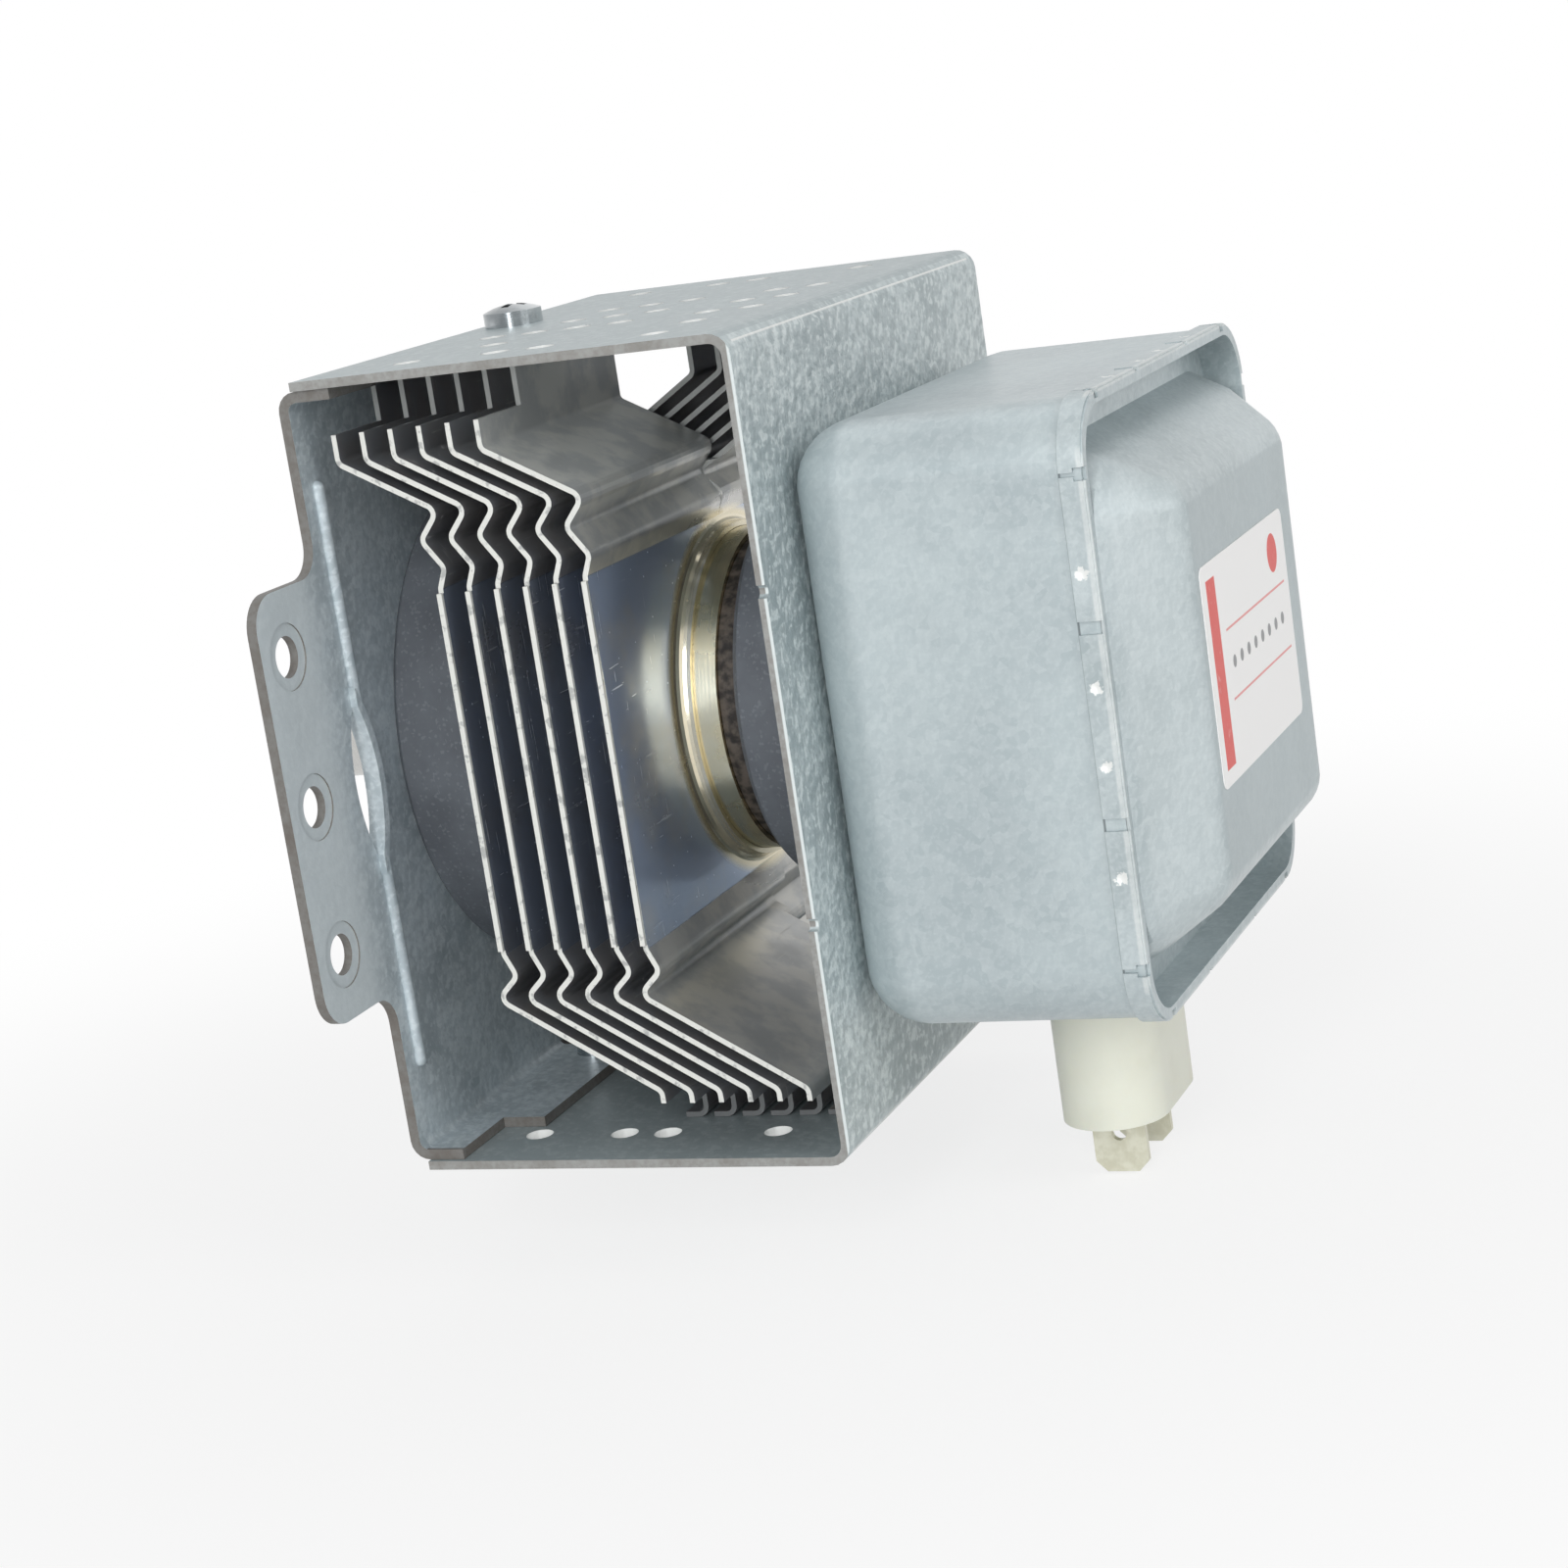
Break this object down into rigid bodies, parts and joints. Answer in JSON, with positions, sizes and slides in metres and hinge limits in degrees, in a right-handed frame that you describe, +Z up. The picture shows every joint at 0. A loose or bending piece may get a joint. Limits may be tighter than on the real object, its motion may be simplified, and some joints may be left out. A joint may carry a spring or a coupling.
{
  "type": "microwave-oven magnetron",
  "caption": "Microwave-oven magnetron: open steel yoke with folded aluminium fins between ring magnets, a capped antenna on a base plate and a drawn filter box with blade terminals.",
  "frame": {"origin": "on the tube's axis, in the outer face of the base plate", "axes": "+X along the tube from the antenna to the filter box, +Z up towards the yoke's upper flange, -Y the open front side"},
  "size_m": [0.1208, 0.1078, 0.1064],
  "materials": {
    "yoke_steel": "galvanised sheet, stippled",
    "plate_steel": "galvanised sheet, mottled",
    "screw_zinc": "bright zinc",
    "ferrite": "matte, finely speckled",
    "fin_aluminium": "rolled bright sheet",
    "anode_copper": "turned, pale gold",
    "bare_copper": "bare copper",
    "tube_steel": "plated steel",
    "can_brown": "rough and dull",
    "pink_ceramic": "matte alumina",
    "cap_steel": "drawn, satin",
    "mesh_wire": "knitted wire",
    "cathode_metal": "satin",
    "box_steel": "galvanised sheet, drawn, satin",
    "lid_steel": "galvanised sheet, drawn, satin",
    "coil_wire": "enamelled copper",
    "case_cream": "moulded, satin",
    "tin_blade": "dull tin"
  },
  "bodies": {
    "root": {"yoke": "yoke_steel", "base_plate": "plate_steel", "yoke_screws": "screw_zinc", "antenna_side_magnet": "ferrite", "filter_side_magnet": "ferrite", "cooling_fin_1": "fin_aluminium", "cooling_fin_2": "fin_aluminium", "cooling_fin_3": "fin_aluminium", "cooling_fin_4": "fin_aluminium", "cooling_fin_5": "fin_aluminium", "cooling_fin_6": "fin_aluminium", "anode_cylinder": "anode_copper", "anode_vanes": "bare_copper", "strap_rings": "tube_steel", "antenna_side_pole_piece": "tube_steel", "filter_side_pole_piece": "tube_steel", "antenna_side_seal_can": "tube_steel", "filter_side_seal_can": "can_brown", "antenna_lead": "bare_copper", "exhaust_pipe": "bare_copper", "output_ceramic": "pink_ceramic", "antenna_cap": "cap_steel", "mesh_gasket": "mesh_wire", "filament": "cathode_metal", "antenna_side_end_hat": "cathode_metal", "filter_side_end_hat": "cathode_metal", "centre_lead": "cathode_metal", "side_lead": "cathode_metal", "stem_ceramic": "pink_ceramic", "filter_box": "box_steel", "filter_lid": "lid_steel", "choke_coil_front": "coil_wire", "choke_coil_back": "coil_wire", "ferrite_core_front": "ferrite", "ferrite_core_back": "ferrite", "capacitor_block": "case_cream", "capacitor_case": "case_cream", "terminal_front": "tin_blade", "terminal_back": "tin_blade"}
  },
  "joints": []
}
